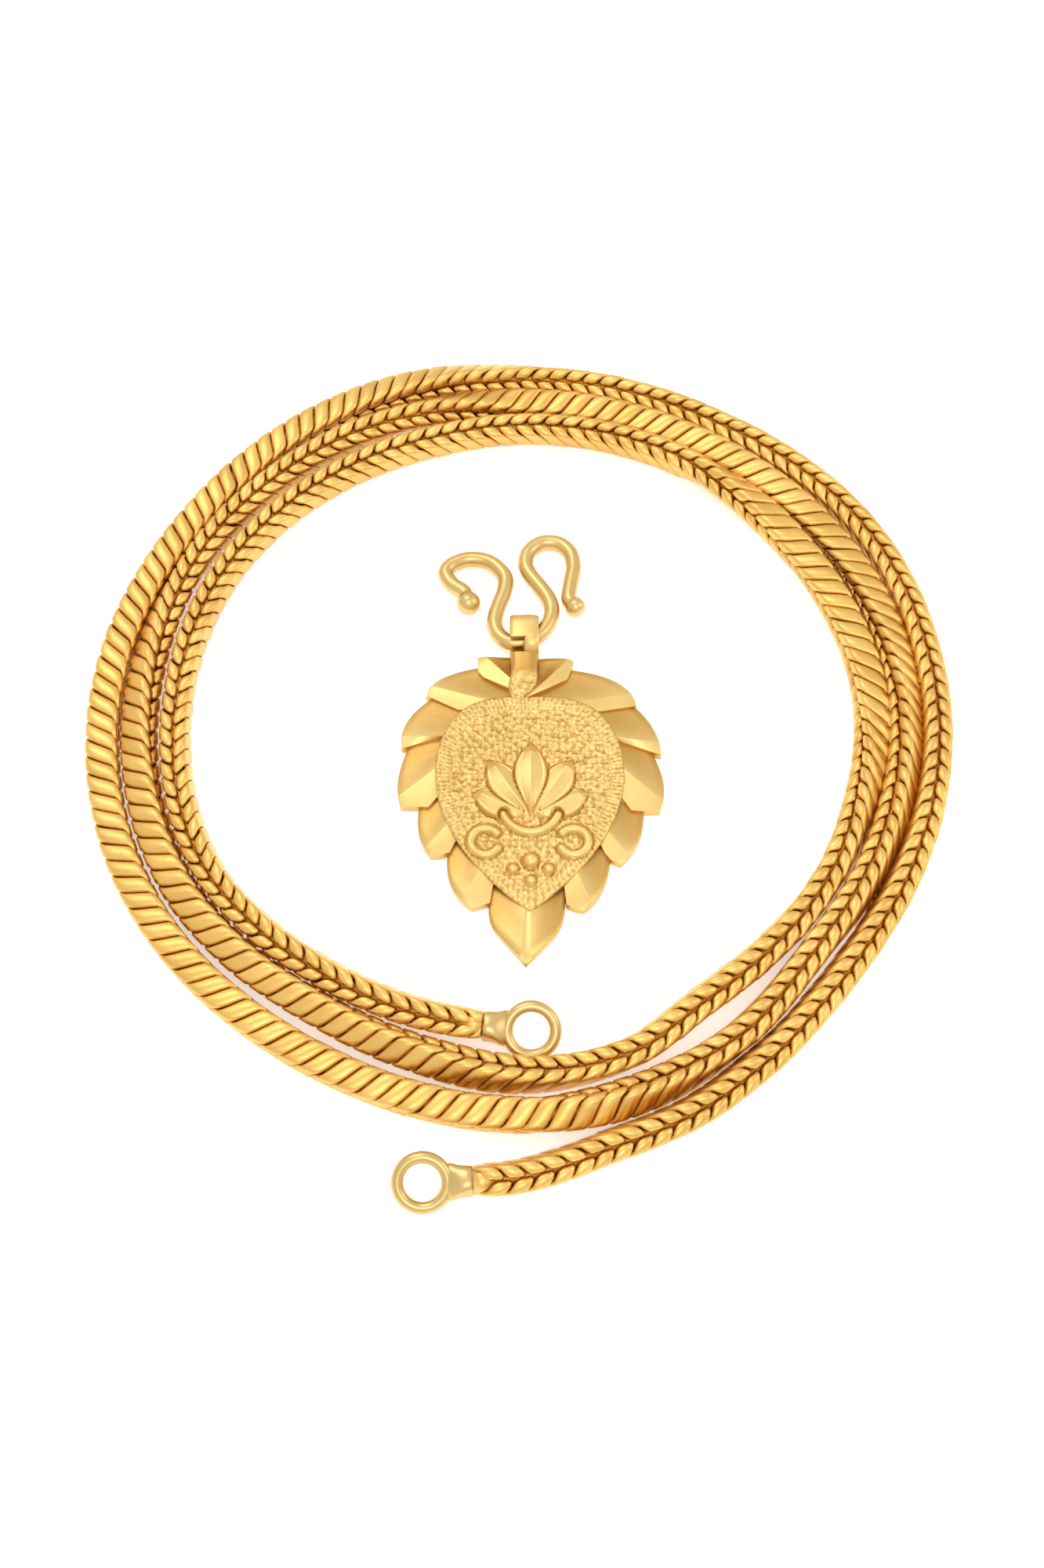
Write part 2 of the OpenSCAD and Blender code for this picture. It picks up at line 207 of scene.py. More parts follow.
# The relief on the field: a lotus on a calyx, two scrolls and beads, in mm and degrees.
# Columns of the petals: heading, length, width, height of the peak.
PETALS = [(27, 5.2, 2.4, 1.9), (153, 5.2, 2.4, 1.9), (57, 6.3, 2.6, 1.95), (123, 6.3, 2.6, 1.95),
          (90, 6.9, 2.7, 2.0)]
LOTUS_FOOT = (0.1, -2.6)
# A petal's outline power, the share of its height that its sides have, its dome's power and how
# steeply its two ends rise
PETAL_POWER = 1.3
PETAL_SIDE = 0.35
PETAL_DOME = 0.8
PETAL_ENDS = 2.2
# The petal's rim: its place and half width as shares of the petal's half width, and its height
PETAL_RIM_AT = 0.86
PETAL_RIM_W = 0.14
PETAL_RIM_H = 0.1
# The calyx and the scrolls are arcs of a wire, each with a start and a sweep
CALYX_R = 2.3
CALYX_ARC = (200, 140)
SCROLL_R = 1.15
SCROLL_ARC = (-150, 290)
SCROLL_AT = (3.5, -4.6)
SCROLL_WIRE = 0.75
# Columns of the beads: x, y, diameter
BEADS = [(0.1, -6.3, 1.3), (-1.3, -7.0, 0.9), (1.5, -7.0, 0.9), (0.1, -8.0, 0.9)]
# Width and depth of the groove round each form of the relief, and the height that stands for no form
GROOVE = 0.13
GROOVE_DEPTH = 0.02
BESIDE = -1.0

# The neck and the tongue that runs from it. Columns: y, middle x, half width, height.
NECK = [(12.7, -0.4, 1.2, 1.85), (11.7, -0.4, 1.12, 1.8), (10.7, -0.42, 1.15, 1.7), (9.9, -0.55, 1.2, 1.62),
        (9.2, -0.75, 0.95, 1.55), (8.6, -0.95, 0.55, 1.48), (8.2, -1.0, 0.1, 1.4)]
# Its foot's height, its rows and sides of points, the powers that round its section, and the
# painted shade on its end under the bail
NECK_LOW = 0.9
NECK_ROWS = 61
NECK_SIDES = 41
NECK_SIDE_POWER = 0.6
NECK_TOP_POWER = 0.5
NECK_END_PAINTED_SHADE = 0.9
# How much darker the neck is painted along its length. Columns: y, tone.
NECK_TONES = [(10.4, 0.25), (11.2, 0.8), (12.7, 0.7)]
# How much of the field's grains the tongue has. Columns: y, share.
TONGUE_GRAINS = [(10.0, 1.0), (11.2, 0.0)]
TONGUE_GRAIN_H = 0.16
# How much more painted shade the tongue has between its grains, and how fast that falls with their height
TONGUE_PAINTED_SHADE = 0.6
TONGUE_SHADE_FALL = 1.2

# The bail is a long loop of strap: its middle x, its width, the strap's thickness, its length, its
# height and the y of its near end
BAIL_X = -0.4
BAIL_W = 2.4
BAIL_STRAP = 0.42
BAIL_L = 3.8
BAIL_H = 2.6
BAIL_FOOT = 12.6
# Round the loop, -90 degrees is its underside, 0 its far end, 90 its top and 180 its near end.
# The strap has its whole width over the first stretch, and only its right half over the second.
WHOLE_STRAP = (-135.0, 98.0)
HALF_STRAP = (90.0, 230.0)
STRAP_STEP = 6.0
# The strap's section. Columns: share of its width, share of its half thickness outwards.
STRAP_SECTION = [(0.0, -0.5), (0.0, 0.2), (0.05, 0.7), (0.18, 1.0), (0.5, 1.15), (0.82, 1.0), (0.95, 0.7),
                 (1.0, 0.2), (1.0, -0.5), (0.9, -1.0), (0.1, -1.0)]

# The hook's wire, from the left ball to the right ball, in mm
HOOK_ROUTE = [
    (-5.1, 18.0), (-5.5, 19.1), (-6.5, 19.9), (-7.1, 21.0), (-6.7, 21.9), (-5.6, 22.5), (-4.6, 22.6),
    (-3.4, 22.3), (-2.5, 21.5), (-2.0, 20.5), (-2.1, 19.2), (-2.5, 17.9), (-2.8, 16.8), (-2.9, 15.8),
    (-2.6, 14.8), (-1.9, 14.1), (-1.0, 13.9), (0.1, 14.2), (1.1, 15.0), (1.7, 16.1), (1.9, 17.3),
    (1.6, 18.5), (0.9, 19.7), (0.1, 20.9), (-0.3, 22.0), (-0.1, 23.2), (0.7, 24.1), (1.7, 24.4),
    (2.8, 24.1), (3.6, 23.1), (3.8, 21.7), (3.6, 20.4), (3.4, 19.1), (3.4, 18.3), (3.9, 17.6),
]
HOOK_WIRE = 1.32
HOOK_STEPS = 6
HOOK_SIDES = 18
# The wire is this far off the table at its far end, which has this y, and rises by this share
# towards the leaf
HOOK_LIFT = 0.05
HOOK_FAR_Y = 24.4
HOOK_RISE = 0.047
LEFT_BALL_D = 2.0
RIGHT_BALL_D = 1.7
# Rings of points on a ball's outer half, from this far off its middle to this share of its radius
BALL_RINGS = 9
BALL_FROM = 0.08
BALL_TO = 0.995

# The end rings, in mm and degrees. A ring's middle is RING_REACH past the chain's end, and its
# collar's middle is COLLAR_Z over the table.
RING_D = 4.6
RING_WIRE = 0.92
RING_TILT = 28.0
RING_REACH = 3.7
RING_STEPS = 72
RING_SIDES = 14
COLLAR_Z = 1.25
COLLAR_SIDES = 20
COLLAR_POWER = 3
# The collar, which widens into the ring. Columns: distance from the chain's end, width, height.
COLLAR = [(0.03, 2.0, 1.98), (0.12, 2.1, 2.08), (0.5, 2.16, 2.1), (0.9, 2.28, 2.0), (1.2, 2.44, 1.8),
          (1.5, 2.66, 1.5), (1.75, 2.72, 1.2), (2.0, 2.5, 0.9), (2.15, 2.2, 0.6)]

# The golds: how fine their clouds of colour and their grain are, per metre, the grain's depth in
# metres, and the places on the colour ramp of their dark and light tones
CLOUD_SCALE = 260.0
CLOUD_DETAIL = 4.0
GRAIN_SCALE = 1500.0
GRAIN_DEPTH = 0.00004
DARK_AT = 0.3
LIGHT_AT = 0.7
# The numbers of the sockets of a Mix node that mixes colours
MIX_FACTOR = 0
MIX_FROM = 6
MIX_TO = 7
MIX_RESULT = 2

# The studio, in metres: half the floor's width, and the lights, which point at the origin.
# Columns: name, place, diameter, radiance, colour.
FLOOR_HALF_W = 0.6
LIGHTS = [("key", (-0.13, 0.22, 0.42), 0.30, 1.8, (1.0, 0.99, 0.97)),
          ("side", (0.36, 0.02, 0.26), 0.22, 1.6, (1.0, 0.98, 0.96)),
          ("front", (0.02, -0.22, 0.42), 0.26, 2.2, (1.0, 0.99, 0.98))]


# Meshes and curves
def new_mesh(name, points, faces, material):
    """A smooth mesh of faces with any number of corners."""
    mesh = bpy.data.meshes.new(name)
    mesh.from_pydata([tuple(p) for p in points], [], [tuple(f) for f in faces])
    mesh.validate()
    mesh.update()
    mesh.materials.append(material)
    for polygon in mesh.polygons:
        polygon.use_smooth = True
    piece = bpy.data.objects.new(name, mesh)
    bpy.context.collection.objects.link(piece)
    return piece


def big_mesh(name, points, quads, painted_shade_and_tone, material):
    """A smooth mesh of many quads, filled straight from arrays, with the painted shade and tone of each
    point.
    """
    mesh = bpy.data.meshes.new(name)
    mesh.vertices.add(len(points))
    mesh.vertices.foreach_set("co", np.asarray(points, dtype=np.float32).ravel())
    mesh.loops.add(quads.size)
    mesh.loops.foreach_set("vertex_index", quads.astype(np.int32).ravel())
    mesh.polygons.add(len(quads))
    mesh.polygons.foreach_set("loop_start", np.arange(0, quads.size, 4, dtype=np.int32))
    mesh.polygons.foreach_set("use_smooth", np.ones(len(quads), dtype=bool))
    mesh.update(calc_edges=True)
    # painted shade, and on the chain a random tone, as an attribute of each point
    tones = mesh.attributes.new("painted_shade_and_tone", "FLOAT", "POINT")
    tones.data.foreach_set("value", np.asarray(painted_shade_and_tone, dtype=np.float32))
    mesh.materials.append(material)
    piece = bpy.data.objects.new(name, mesh)
    bpy.context.collection.objects.link(piece)
    return piece


def sheet(grid, flip=False, wrap=False):
    """Quads over a grid of points, rows by columns, which may close round its columns."""
    rows, columns = grid.shape[:2]
    i, k = np.meshgrid(np.arange(rows - 1), np.arange(columns if wrap else columns - 1), indexing="ij")
    m = (k + 1) % columns
    quads = np.stack([i * columns + k, i * columns + m, (i + 1) * columns + m, (i + 1) * columns + k], -1)
    quads = quads.reshape(-1, 4)
    return grid.reshape(-1, 3), quads[:, ::-1] if flip else quads


def joined(parts):
    """Sheets as one set of points, quads and painted shades. Each part is points, quads and its painted
    shade and tone.
    """
    points, quads, painted_shade_and_tone_parts, n = [], [], [], 0
    for at, faces, painted_shade_and_tone in parts:
        points.append(at)
        quads.append(faces + n)
        painted_shade_and_tone_parts.append(np.broadcast_to(np.asarray(painted_shade_and_tone, dtype=float).ravel(), len(at)))
        n += len(at)
    return np.vstack(points), np.vstack(quads), np.concatenate(painted_shade_and_tone_parts)


def wire_faces(rings, sides):
    """Faces along a row of rings of points, with one flat face at either end."""
    faces = []
    for i in range(rings - 1):
        near, far = i * sides, (i + 1) * sides
        for k in range(sides):
            m = (k + 1) % sides
            faces.append((near + k, near + m, far + m, far + k))
    faces.append(tuple(range(sides - 1, -1, -1)))
    faces.append(tuple((rings - 1) * sides + k for k in range(sides)))
    return faces


def lerp(a, b, share):
    return a + (b - a) * share


def turned(a, b, angle):
    """Two coordinates turned by an angle in radians."""
    c, s = np.cos(angle), np.sin(angle)
    return a * c - b * s, a * s + b * c


def curve_through(points, steps):
    """Points on a smooth curve through the given ones, steps for each stretch."""
    p = np.asarray(points, dtype=float)
    p = np.vstack([2 * p[0] - p[1], p, 2 * p[-1] - p[-2]])
    out = []
    for i in range(1, len(p) - 2):
        a, b, c, d = p[i - 1], p[i], p[i + 1], p[i + 2]
        for k in range(steps):
            s = k / steps
            out.append(0.5 * (2 * b + (c - a) * s + (2 * a - 5 * b + 4 * c - d) * s * s
                              + (3 * b - a - 3 * c + d) * s ** 3))
    out.append(p[-2])
    return np.array(out)


def running_length(points):
    """How far along a line each of its points is."""
    return np.concatenate([[0], np.cumsum(np.linalg.norm(np.diff(points, axis=0), axis=1))])


def half_round(distance, d):
    """The height of a round of diameter d at a distance from its middle, and 0 beyond it."""
    return np.sqrt(np.clip((d / 2) ** 2 - distance ** 2, 0, None))


# Materials
def gold(name, dark, light, deep, roughness, grain, bump):
    """A worn gold: its colour drifts between dark and light, and painted shade takes it towards deep.

    roughness is its least and most, grain the detail of its fine grain, and bump that grain's
    strength. A mesh without painted shade has the drifting colour alone.
    """
    material = bpy.data.materials.new(name)
    material.use_nodes = True
    nodes = material.node_tree.nodes
    links = material.node_tree.links
    shader = nodes["Principled BSDF"]
    shader.inputs["Metallic"].default_value = 1.0
    place = nodes.new("ShaderNodeTexCoord")
    cloud = nodes.new("ShaderNodeTexNoise")
    cloud.inputs["Scale"].default_value = CLOUD_SCALE
    cloud.inputs["Detail"].default_value = CLOUD_DETAIL
    links.new(place.outputs["Object"], cloud.inputs["Vector"])
    tone = nodes.new("ShaderNodeValToRGB")
    tone.color_ramp.elements[0].position = DARK_AT
    tone.color_ramp.elements[0].color = (*dark, 1.0)
    tone.color_ramp.elements[1].position = LIGHT_AT
    tone.color_ramp.elements[1].color = (*light, 1.0)
    links.new(cloud.outputs["Fac"], tone.inputs["Fac"])
    painted_shade_and_tone = nodes.new("ShaderNodeAttribute")
    painted_shade_and_tone.attribute_name = "painted_shade_and_tone"
    # painted shade: this mix takes the colour towards deep as far as the mesh's attribute says
    painted_shade_mix = nodes.new("ShaderNodeMix")
    painted_shade_mix.data_type = "RGBA"
    painted_shade_mix.inputs[MIX_TO].default_value = (*deep, 1.0)
    links.new(painted_shade_and_tone.outputs["Fac"], painted_shade_mix.inputs[MIX_FACTOR])
    links.new(tone.outputs["Color"], painted_shade_mix.inputs[MIX_FROM])
    links.new(painted_shade_mix.outputs[MIX_RESULT], shader.inputs["Base Color"])
    rough = nodes.new("ShaderNodeMapRange")
    rough.inputs["To Min"].default_value = roughness[0]
    rough.inputs["To Max"].default_value = roughness[1]
    links.new(cloud.outputs["Fac"], rough.inputs["Value"])
    links.new(rough.outputs["Result"], shader.inputs["Roughness"])
    fine = nodes.new("ShaderNodeTexNoise")
    fine.inputs["Scale"].default_value = GRAIN_SCALE
    fine.inputs["Detail"].default_value = grain
    links.new(place.outputs["Object"], fine.inputs["Vector"])
    relief = nodes.new("ShaderNodeBump")
    relief.inputs["Strength"].default_value = bump
    relief.inputs["Distance"].default_value = GRAIN_DEPTH
    links.new(fine.outputs["Fac"], relief.inputs["Height"])
    links.new(relief.outputs["Normal"], shader.inputs["Normal"])
    return material


# deep is each gold's painted shade colour, used on meshes that carry painted shade
chain_gold = gold("chain_gold", dark=(0.82, 0.51, 0.135), light=(0.92, 0.60, 0.19), deep=(0.42, 0.17, 0.02),
                  roughness=(0.32, 0.44), grain=3.0, bump=0.25)
ring_gold = gold("ring_gold", dark=(0.62, 0.44, 0.17), light=(0.71, 0.51, 0.22), deep=(0.44, 0.24, 0.06),
                 roughness=(0.26, 0.38), grain=3.0, bump=0.25)
leaf_gold = gold("leaf_gold", dark=(0.77, 0.53, 0.18), light=(0.86, 0.61, 0.24), deep=(0.50, 0.26, 0.05),
                 roughness=(0.34, 0.46), grain=4.0, bump=0.4)
hook_gold = gold("hook_gold", dark=(0.66, 0.46, 0.17), light=(0.74, 0.52, 0.22), deep=(0.46, 0.24, 0.05),
                 roughness=(0.28, 0.38), grain=3.0, bump=0.2)


# The chain
def section_reach(c, s):
    """How far the chain's rounded section reaches along the direction (c, s), in mm."""
    return (np.abs(c / HALF_W) ** CORNER_POWER + np.abs(s / HALF_H) ** CORNER_POWER) ** (-1 / CORNER_POWER)


def link_points():
    """One link as stations by sides, in mm along, left and up, and how deep each point lies."""
    table = np.array(BAR_STATIONS, dtype=float)
    table = np.vstack([table[::-1], table * np.array([-1.0, 1.0, 1.0])])
    turn = np.radians(table[:, 0])
    c, s = np.cos(turn), np.sin(turn)
    reach = section_reach(c, s)
    y, z = reach * c, reach * s
    x = -BAR_LEAN * z - BEAD_LEAN * (HALF_W - y) * np.sign(z)
    out = np.stack([(y / HALF_W) ** (CORNER_POWER - 1) / HALF_W,
                    np.sign(z) * (np.abs(z) / HALF_H) ** (CORNER_POWER - 1) / HALF_H], -1)
    out /= np.linalg.norm(out, axis=1)[:, None]
    section = np.array(BAR_SECTION)

    def bar(side, shift, first):
        """The left bar has side 1, and the right one -1. first is where its section starts."""
        shape = np.roll(section, -first, axis=0)
        depth = table[:, 2:] + shape[None, :, 1]
        along = x[:, None] + shift + side * shape[None, :, 0] * table[:, 1:2]
        across = y[:, None] - depth * out[:, :1]
        up = z[:, None] - depth * out[:, 1:]
        return np.stack([along, side * across, up], -1), depth

    a = np.arctan2(SECTION_MIDDLE - section[:, 1], section[:, 0])
    core = np.stack([np.cos(a), -np.sin(a), 0 * a], -1)[None] * CORE_WIRE / 2
    left, left_depth = bar(1.0, 0.0, 0)
    right, right_depth = bar(-1.0, RIGHT_BAR_SHIFT, len(section) // 2)
    deep = np.ones((1, len(section)))
    points = np.concatenate([left, core + np.array([CORE_AT + RIGHT_BAR_SHIFT / 2, 0, 0]),
                             right, core + np.array([RIGHT_BAR_SHIFT / 2 - CORE_AT, 0, 0])])
    return points, np.concatenate([left_depth, deep, right_depth, deep])


def packed_core(length):
    """The wires packed inside the chain, as one closed core in mm along, left and up."""
    run = np.concatenate([[END_GAP, END_GAP], np.arange(SOLDER_L, length - SOLDER_L, CORE_STEP),
                          [length - SOLDER_L, length - END_GAP, length - END_GAP]])
    soldered = np.minimum(run, length - run) < SOLDER_L + END_GAP
    share = np.where(soldered, SOLDER_SHARE, PACKED_SHARE)
    share[[0, -1]] = CORE_END_SHARE
    a = 2 * np.pi * (np.arange(CORE_SIDES) + 0.5) / CORE_SIDES
    c, s = np.cos(a), np.sin(a)
    reach = section_reach(c, s)
    grid = np.stack([np.broadcast_to(run[:, None], (len(run), CORE_SIDES)), share[:, None] * reach * c,
                     share[:, None] * reach * s], -1)
    # painted shade: deep on the packed core, slight on the solder
    tones = np.where(soldered, SOLDER_PAINTED_SHADE, PACKED_PAINTED_SHADE)
    return (*sheet(grid, wrap=True, flip=True), np.repeat(tones, CORE_SIDES))


def route_line():
    """The chain's axis as degrees turned, points in mm and running length."""
    table = np.array(ROUTE, dtype=float)
    smooth = curve_through(table, ROUTE_STEPS)
    turn = np.arange(table[0, 0], table[-1, 0] + AXIS_STEP / 2, AXIS_STEP)
    radius = np.interp(turn, smooth[:, 0], smooth[:, 1])
    angle = np.radians(ROUTE_FROM - turn)
    points = np.stack([COIL_AT[0] + radius * np.cos(angle), COIL_AT[1] + radius * np.sin(angle)], -1)
    return turn, points, running_length(points)


def chain():
    """Links at one pitch along the route, flattened and pressed slim at the route's ends."""
    link, depth = link_points()
    flat = link.reshape(-1, 3)
    turn, points, length = route_line()
    table = np.array(ROLLS, dtype=float)
    count = round((length[-1] - LINK_PITCH) / LINK_PITCH) + 1
    pitch = (length[-1] - LINK_PITCH) / (count - 1)
    centres = LINK_PITCH / 2 + pitch * np.arange(count)
    heading = np.gradient(points, length, axis=0)
    rolls = np.radians(np.arange(*LIFT_ROLLS))
    lifts = [-(flat[:, 1] * math.sin(r) + flat[:, 2] * math.cos(r)).min() for r in rolls]
    rng = np.random.default_rng(LINK_SEED)
    jitter = np.radians(rng.uniform(-LINK_ROLL, LINK_ROLL, count))[:, None]
    tones = rng.uniform(0, LINK_TONE, count)[:, None]

    def laid(s, across, above, twist):
        """Points in mm along, left and up, laid along the route and turned by its roll and a twist."""
        s = np.clip(s, END_GAP, length[-1] - END_GAP)
        tx = np.interp(s, length, heading[:, 0])
        ty = np.interp(s, length, heading[:, 1])
        norm = np.hypot(tx, ty)
        tx, ty = tx / norm, ty / norm
        roll = np.radians(np.interp(np.interp(s, length, turn), table[:, 0], table[:, 1]))
        lift = np.interp(roll, rolls, lifts)
        ease = np.clip(np.minimum(s, length[-1] - s) / END_TAPER_L, 0, 1)
        slim = END_SHARE + (1 - END_SHARE) * ease * (2 - ease)
        left, up = turned(across * slim, above * slim, roll + twist)
        x = np.interp(s, length, points[:, 0]) - left * ty
        y = np.interp(s, length, points[:, 1]) + left * tx
        return np.stack([x, y, np.maximum(up + lift, 0.0)], -1).reshape(-1, 3) * MM

    verts = laid(centres[:, None] + flat[None, :, 0], flat[None, :, 1], flat[None, :, 2], jitter)
    steps, sides = link.shape[:2]
    i, k = np.meshgrid(np.arange(steps), np.arange(sides), indexing="ij")
    j, m = (i + 1) % steps, (k + 1) % sides
    quad = np.stack([i * sides + k, i * sides + m, j * sides + m, j * sides + k], -1).reshape(1, -1, 4)
    quads = (quad + (np.arange(count) * steps * sides)[:, None, None]).reshape(-1, 4)
    # painted shade on the bars' sides and on the crossing wires, plus a random tone for each link
    side_painted_shade = np.clip((depth.ravel() - SIDE_PAINTED_SHADE_FROM) / SIDE_PAINTED_SHADE_OVER, 0, 1)
    painted_shade_and_tone = np.clip(side_painted_shade[None, :] + tones, 0, 1)
    core, core_quads, core_painted_shade = packed_core(length[-1])
    core = laid(core[:, 0], core[:, 1], core[:, 2], 0.0)
    verts, quads, painted_shade_and_tone = joined([(verts, quads, painted_shade_and_tone), (core, core_quads, core_painted_shade)])
    piece = big_mesh("curb_chain", verts, quads, painted_shade_and_tone, chain_gold)
    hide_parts("chain")
    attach(piece, "root")


# The hook
def tube(path, radii, sides):
    """Points and faces of a closed round wire along a path, in mm."""
    along = np.gradient(path, axis=0)
    along /= np.linalg.norm(along, axis=1)[:, None]
    side = np.cross(along, np.array([0.0, 0.0, 1.0]))
    side /= np.linalg.norm(side, axis=1)[:, None]
    up = np.cross(side, along)
    turn = np.arange(sides) * 2 * np.pi / sides
    out = np.cos(turn)[None, :, None] * side[:, None, :] + np.sin(turn)[None, :, None] * up[:, None, :]
    rings = path[:, None, :] + radii[:, None, None] * out
    return rings.reshape(-1, 3), wire_faces(len(path), sides)


def hook():
    flat = curve_through(HOOK_ROUTE, HOOK_STEPS)
    height = HOOK_WIRE / 2 + HOOK_LIFT + HOOK_RISE * (HOOK_FAR_Y - flat[:, 1])
    path = np.column_stack([flat, height])
    run = running_length(path)
    length = run[-1]
    start_ball = np.linspace(-LEFT_BALL_D / 2 * BALL_TO, -BALL_FROM, BALL_RINGS)
    end_ball = np.linspace(BALL_FROM, RIGHT_BALL_D / 2 * BALL_TO, BALL_RINGS)
    into = (path[1] - path[0]) / np.linalg.norm(path[1] - path[0])
    out = (path[-1] - path[-2]) / np.linalg.norm(path[-1] - path[-2])
    path = np.vstack([path[0] + start_ball[:, None] * into, path, path[-1] + end_ball[:, None] * out])
    run = np.concatenate([start_ball, run, length + end_ball])
    wire = np.where((run > 0) & (run < length), HOOK_WIRE / 2, 0.0)
    balls = np.maximum(half_round(run, LEFT_BALL_D), half_round(run - length, RIGHT_BALL_D))
    points, faces = tube(path, np.maximum(wire, balls), HOOK_SIDES)
    points = (points + np.array([*LEAF_AT, 0.0])) * MM
    piece = new_mesh("wire_hook", points, faces, hook_gold)
    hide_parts("hook")
    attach(piece, "root")


# The end rings
def collar_block():
    """The collar along +X, closed at both ends, as points and faces in mm."""
    points = []
    for x, width, height in COLLAR:
        for k in range(COLLAR_SIDES):
            a = 2 * math.pi * (k + 0.5) / COLLAR_SIDES
            c, s = math.cos(a), math.sin(a)
            reach = (abs(c) ** COLLAR_POWER + abs(s) ** COLLAR_POWER) ** (-1 / COLLAR_POWER)
            points.append((x, width / 2 * reach * c, COLLAR_Z + height / 2 * reach * s))
    return np.array(points), wire_faces(len(COLLAR), COLLAR_SIDES)


def ring_block(tilt):
    """The ring round the origin, tilted about X, as points and faces in mm."""
    steps = np.arange(RING_STEPS) * 2 * np.pi / RING_STEPS
    sides = np.arange(RING_SIDES) * 2 * np.pi / RING_SIDES
    a, b = np.meshgrid(steps, sides, indexing="ij")
    reach = (RING_D - RING_WIRE) / 2 + RING_WIRE / 2 * np.cos(b)
    y, z = turned(reach * np.sin(a), RING_WIRE / 2 * np.sin(b), tilt)
    faces = []
    for i in range(RING_STEPS):
        here, there = i * RING_SIDES, (i + 1) % RING_STEPS * RING_SIDES
        for k in range(RING_SIDES):
            m = (k + 1) % RING_SIDES
            faces.append((here + k, there + k, there + m, here + m))
    return np.stack([reach * np.cos(a), y, z], -1).reshape(-1, 3), faces


def end_ring(name, node, at, heading):
    """The chain's end is at the point at, and the collar and ring go on along heading, in degrees."""
    tilt = math.radians(RING_TILT)
    ring_z = (RING_D - RING_WIRE) / 2 * math.sin(tilt) + RING_WIRE / 2
    turn = math.radians(heading)
    along = np.array([math.cos(turn), math.sin(turn), 0.0])
    across = np.array([-along[1], along[0], 0.0])
    ring, faces = ring_block(tilt)
    ring = ring + (np.array([*at, 0.0]) + RING_REACH * along + np.array([0, 0, ring_z]))
    block, block_faces = collar_block()
    # the collar turns with its distance until it lies as the ring does
    twist = tilt * across[1] * (block[:, 0] / COLLAR[-1][0]) ** 2
    left, up = turned(block[:, 1], block[:, 2] - COLLAR_Z, twist)
    block = (np.array([*at, 0.0]) + block[:, :1] * along + left[:, None] * across
             + (up + COLLAR_Z)[:, None] * np.array([0.0, 0.0, 1.0]))
    faces += [tuple(len(ring) + v for v in face) for face in block_faces]
    piece = new_mesh(name, np.vstack([ring, block]) * MM, faces, ring_gold)
    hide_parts(node)
    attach(piece, "root")


def end_rings():
    points = route_line()[1]
    start = points[1] - points[0]
    end = points[-1] - points[-2]
    end_ring("inner_ring", "inner_end_ring", points[0], math.degrees(math.atan2(-start[1], -start[0])))
    end_ring("outer_ring", "outer_end_ring", points[-1], math.degrees(math.atan2(end[1], end[0])))


# The leaf's lobes
def lobe_sheets(arc, ridge, heel, crest, mirrored):
    """One lobe: its sunken leading face, painted with shade, the bright strip behind its ridge, its back and
    its wall, which has some painted shade.

    arc is the lobe's outer edge from its start to its tip, and the ridge meets it at the point
    number ridge. The trailing edge runs from the tip over the heel to the crest.
    """
    lead = arc[:ridge + 1]
    v = np.array(LOBE_ROWS)[:, None, None]
    u = np.linspace(0, 1, len(lead))[None, :, None]
    plan = lerp(lead[None, :, :], crest[None, None, :], v)
    edge = LOBE_START + (LOBE_RIDGE - LOBE_START) * u ** 3
    height = lerp(edge, LOBE_CREST, v) - LOBE_SINK * 4 * v * (1 - v) * (1 - u ** 2)
    lead_top = np.concatenate([plan, height - LOBE_BEVEL * (v == 0)], -1)
    # painted shade on the leading face, most where it starts
    lead_painted_shade = LEAD_PAINTED_SHADE * (1 - u[..., 0] ** 2) * np.ones_like(v[..., 0])

    strip = arc[ridge:]
    w = np.linspace(0, 1, len(strip))[None, :, None]
    crown = lerp(strip[0], crest, v)
    to_heel = np.linalg.norm(heel - strip[-1])
    heel_at = to_heel / (to_heel + np.linalg.norm(crest - heel))
    row = v[..., 0]
    trail = np.where(row < heel_at, lerp(strip[-1], heel, row / heel_at),
                     lerp(heel, crest, (row - heel_at) / (1 - heel_at)))[:, None, :]
    bow = strip[None, :, :] - lerp(strip[0], strip[-1], w)
    plan = lerp(crown, trail, w) + (1 - v) * bow
    crown_h = lerp(LOBE_RIDGE, LOBE_CREST, v)
    trail_h = np.where(v < heel_at, lerp(LOBE_TIP, LOBE_HEEL, v / heel_at),
                       lerp(LOBE_HEEL, LOBE_CREST, (v - heel_at) / (1 - heel_at)))
    height = lerp(crown_h, trail_h, w) - LOBE_BEVEL * ((v == 0) | (w == 1))
    strip_top = np.concatenate([plan, height], -1)

    on_table = np.array([1.0, 1.0, 0.0])
    parts = []
    for top, painted_shade_and_tone in ((lead_top, lead_painted_shade), (strip_top, 0.0)):
        share = field_share(top[..., 0], top[..., 1])
        low = np.minimum(top[..., 2], FIELD_H - UNDER_FIELD)
        top[..., 2] = np.where(share < UNDER_SHARE, low, top[..., 2])
        parts.append((*sheet(top, flip=mirrored), painted_shade_and_tone))
        parts.append((*sheet(top[[0, -1]] * on_table, flip=not mirrored), 0.0))
    rim = np.vstack([lead_top[0], strip_top[0, 1:], strip_top[1:, -1]])
    # the lobe's wall is painted with some shade
    parts.append((*sheet(np.stack([rim * on_table, rim]), flip=mirrored), WALL_PAINTED_SHADE))
    return parts


